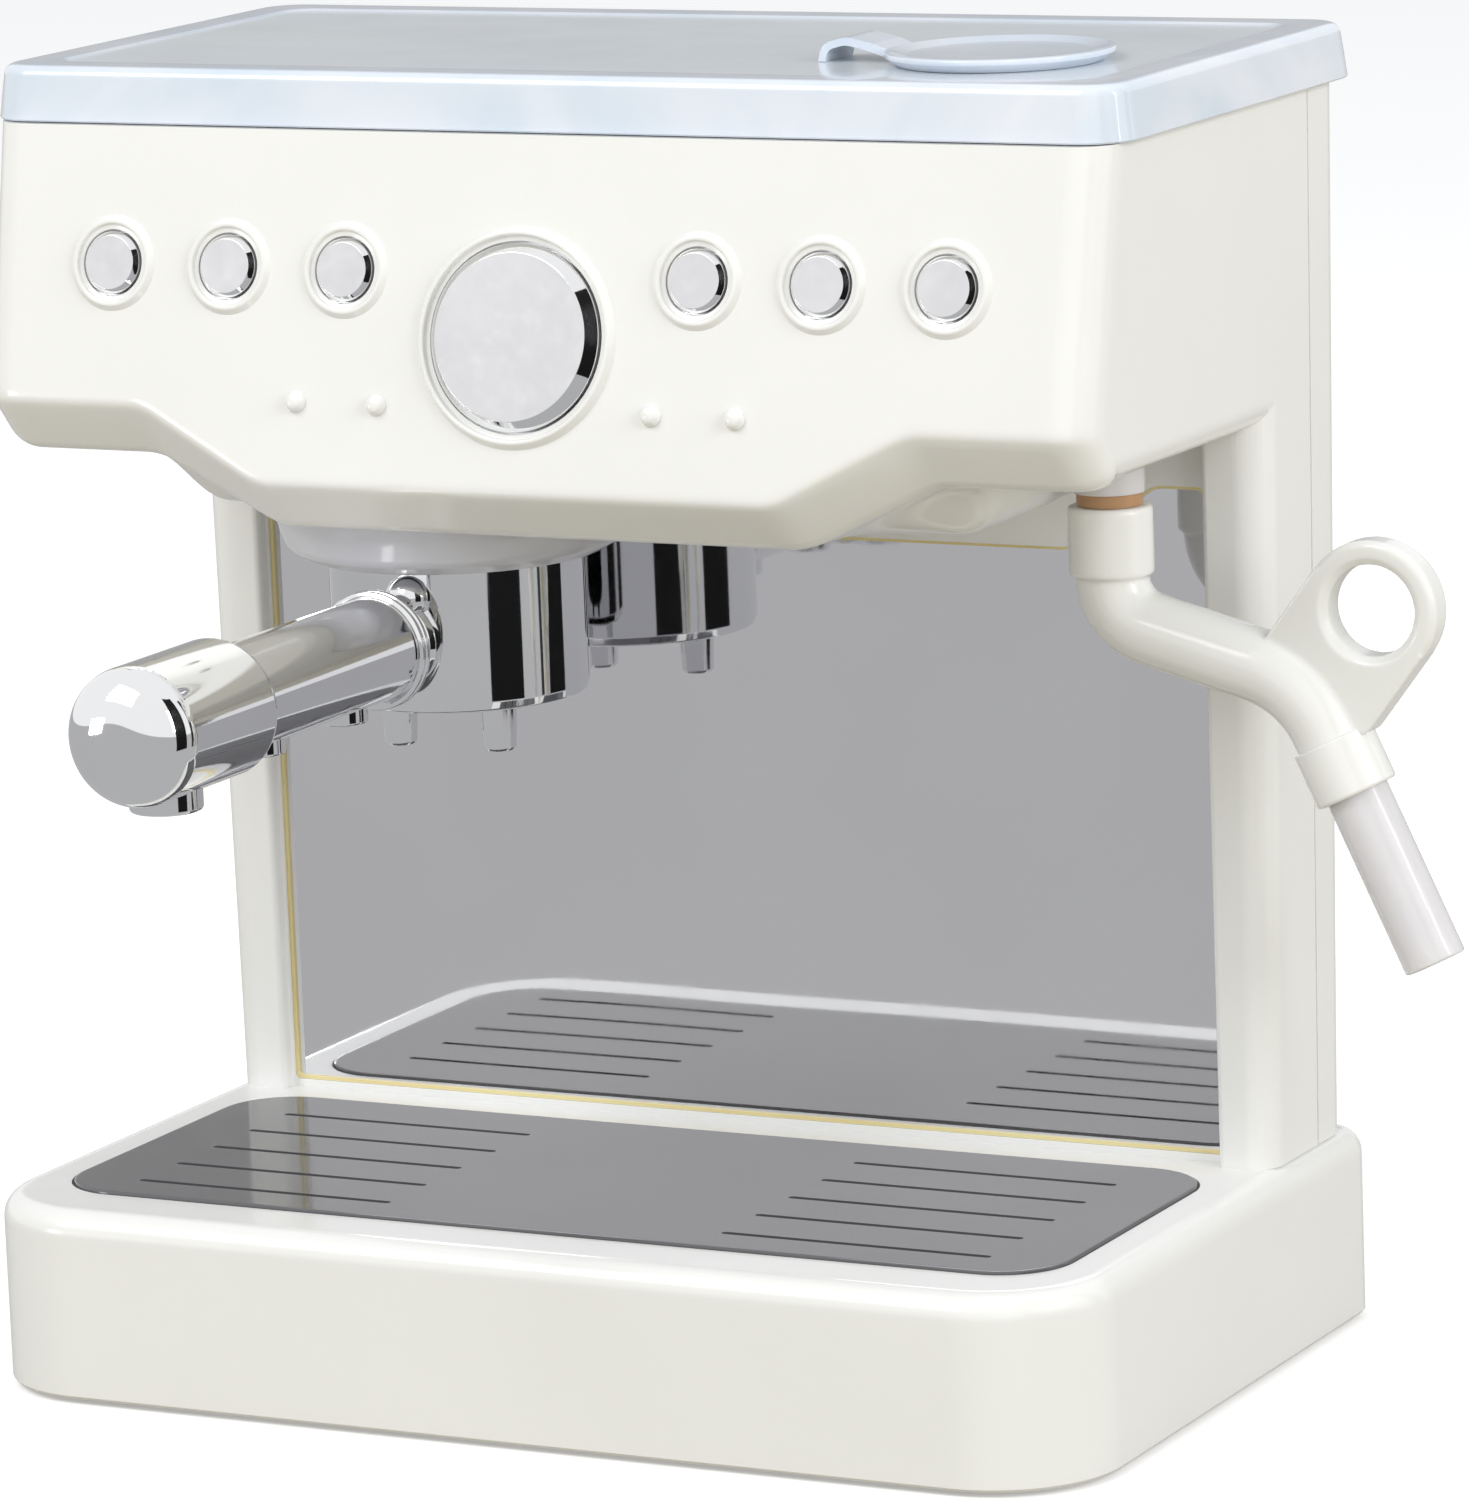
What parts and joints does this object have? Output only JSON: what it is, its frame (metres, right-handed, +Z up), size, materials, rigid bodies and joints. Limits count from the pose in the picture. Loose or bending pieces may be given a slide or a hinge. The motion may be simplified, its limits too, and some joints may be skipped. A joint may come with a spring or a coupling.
{
  "type": "toy espresso machine",
  "caption": "Toy espresso machine with a lift-off lid and filler cap, a turning portafilter, a swivelling steam wand, push buttons, a mirror back panel and a slotted drip plate.",
  "frame": {"origin": "centre of the base outline on the floor that the feet stand on", "axes": "+X to the right seen from the front, +Y to the back, +Z up"},
  "size_m": [0.2889, 0.2112, 0.2647],
  "materials": {
    "ivory_plastic": "gloss, warm white",
    "pearl_plastic": "polished pearl with a blue-grey cast",
    "tank_plastic": "milky translucent",
    "chrome_plating": "chrome plating on plastic",
    "plate_plastic": "gloss dark grey",
    "mirror_sheet": "mirror sheet",
    "clear_plastic": "clear, slightly milky",
    "seal_rubber": "amber seal",
    "foot_rubber": "black rubber",
    "screw_steel": "zinc plated",
    "cell_jacket": "plain jacket",
    "contact_steel": "nickel plated",
    "board": "solder mask",
    "motor_plastic": "moulded",
    "hose_rubber": "silicone"
  },
  "bodies": {
    "housing": {"base_shell": "ivory_plastic", "bottom_cover": "ivory_plastic", "rubber_feet": "foot_rubber", "base_screws": "screw_steel", "battery_cells": "cell_jacket", "battery_contacts": "contact_steel", "front_shell": "ivory_plastic", "rear_cover": "ivory_plastic", "rear_screws": "screw_steel", "mirror_panel": "mirror_sheet", "water_tank": "tank_plastic", "group_ring": "pearl_plastic", "wand_stem": "clear_plastic", "wand_seal": "seal_rubber", "wand_clip": "screw_steel", "circuit_board": "board", "speaker": "motor_plastic", "pump": "motor_plastic", "water_hose": "hose_rubber", "button_spring_1": "screw_steel", "button_spring_2": "screw_steel", "button_spring_3": "screw_steel", "button_spring_4": "screw_steel", "button_spring_5": "screw_steel", "button_spring_6": "screw_steel", "brew_spring": "screw_steel"},
    "drip_tray": {"drip_plate": "plate_plastic"},
    "battery_hatch": {"battery_cover": "ivory_plastic", "battery_cover_screw": "screw_steel"},
    "lid": {"lid": "pearl_plastic"},
    "filler_cap": {"filler_cap": "pearl_plastic"},
    "portafilter": {"filter_cup": "chrome_plating", "spout_pair": "chrome_plating", "handle_neck": "chrome_plating", "handle_grip": "chrome_plating", "handle_underside": "chrome_plating", "handle_end_cap": "chrome_plating", "handle_screws": "screw_steel"},
    "steam_wand": {"wand_arm": "ivory_plastic", "wand_tube": "clear_plastic"},
    "brew_key": {"brew_button": "chrome_plating"},
    "key_1": {"button_1": "chrome_plating"},
    "key_2": {"button_2": "chrome_plating"},
    "key_3": {"button_3": "chrome_plating"},
    "key_4": {"button_4": "chrome_plating"},
    "key_5": {"button_5": "chrome_plating"},
    "key_6": {"button_6": "chrome_plating"}
  },
  "joints": [
    {"name": "lid_lift", "type": "slide", "parent": "housing", "child": "lid", "axis": [0, 0, 1], "range_m": [0, 0.06]},
    {"name": "filler_cap_lift", "type": "slide", "parent": "lid", "child": "filler_cap", "axis": [0, 0, 1], "range_m": [0, 0.025]},
    {"name": "drip_plate_lift", "type": "slide", "parent": "housing", "child": "drip_tray", "axis": [0, 0, 1], "range_m": [0, 0.04]},
    {"name": "battery_hatch_drop", "type": "slide", "parent": "housing", "child": "battery_hatch", "axis": [0, 0, -1], "range_m": [0, 0.03]},
    {"name": "portafilter_turn", "type": "hinge", "parent": "housing", "child": "portafilter", "pos_m": [-0.0412, 0.0005, 0.1505], "axis": [0, 0, 1], "range_deg": [-50, 0]},
    {"name": "wand_swing", "type": "hinge", "parent": "housing", "child": "steam_wand", "pos_m": [0.096, 0.0115, 0.168], "axis": [0, 0, 1], "range_deg": [-110, 20]},
    {"name": "brew_press", "type": "slide", "parent": "housing", "child": "brew_key", "axis": [0, 0.9806, -0.1961], "range_m": [0, 0.0018], "stiffness_N_per_m": 600, "springref_m": -0.0015, "deforming": ["brew_spring"]},
    {"name": "press_1", "type": "slide", "parent": "housing", "child": "key_1", "axis": [0, 0.9806, -0.1961], "range_m": [0, 0.0016], "stiffness_N_per_m": 400, "springref_m": -0.0012, "deforming": ["button_spring_1"]},
    {"name": "press_2", "type": "slide", "parent": "housing", "child": "key_2", "axis": [0, 0.9806, -0.1961], "range_m": [0, 0.0016], "stiffness_N_per_m": 400, "springref_m": -0.0012, "deforming": ["button_spring_2"]},
    {"name": "press_3", "type": "slide", "parent": "housing", "child": "key_3", "axis": [0, 0.9806, -0.1961], "range_m": [0, 0.0016], "stiffness_N_per_m": 400, "springref_m": -0.0012, "deforming": ["button_spring_3"]},
    {"name": "press_4", "type": "slide", "parent": "housing", "child": "key_4", "axis": [0, 0.9806, -0.1961], "range_m": [0, 0.0016], "stiffness_N_per_m": 400, "springref_m": -0.0012, "deforming": ["button_spring_4"]},
    {"name": "press_5", "type": "slide", "parent": "housing", "child": "key_5", "axis": [0, 0.9806, -0.1961], "range_m": [0, 0.0016], "stiffness_N_per_m": 400, "springref_m": -0.0012, "deforming": ["button_spring_5"]},
    {"name": "press_6", "type": "slide", "parent": "housing", "child": "key_6", "axis": [0, 0.9806, -0.1961], "range_m": [0, 0.0016], "stiffness_N_per_m": 400, "springref_m": -0.0012, "deforming": ["button_spring_6"]}
  ]
}
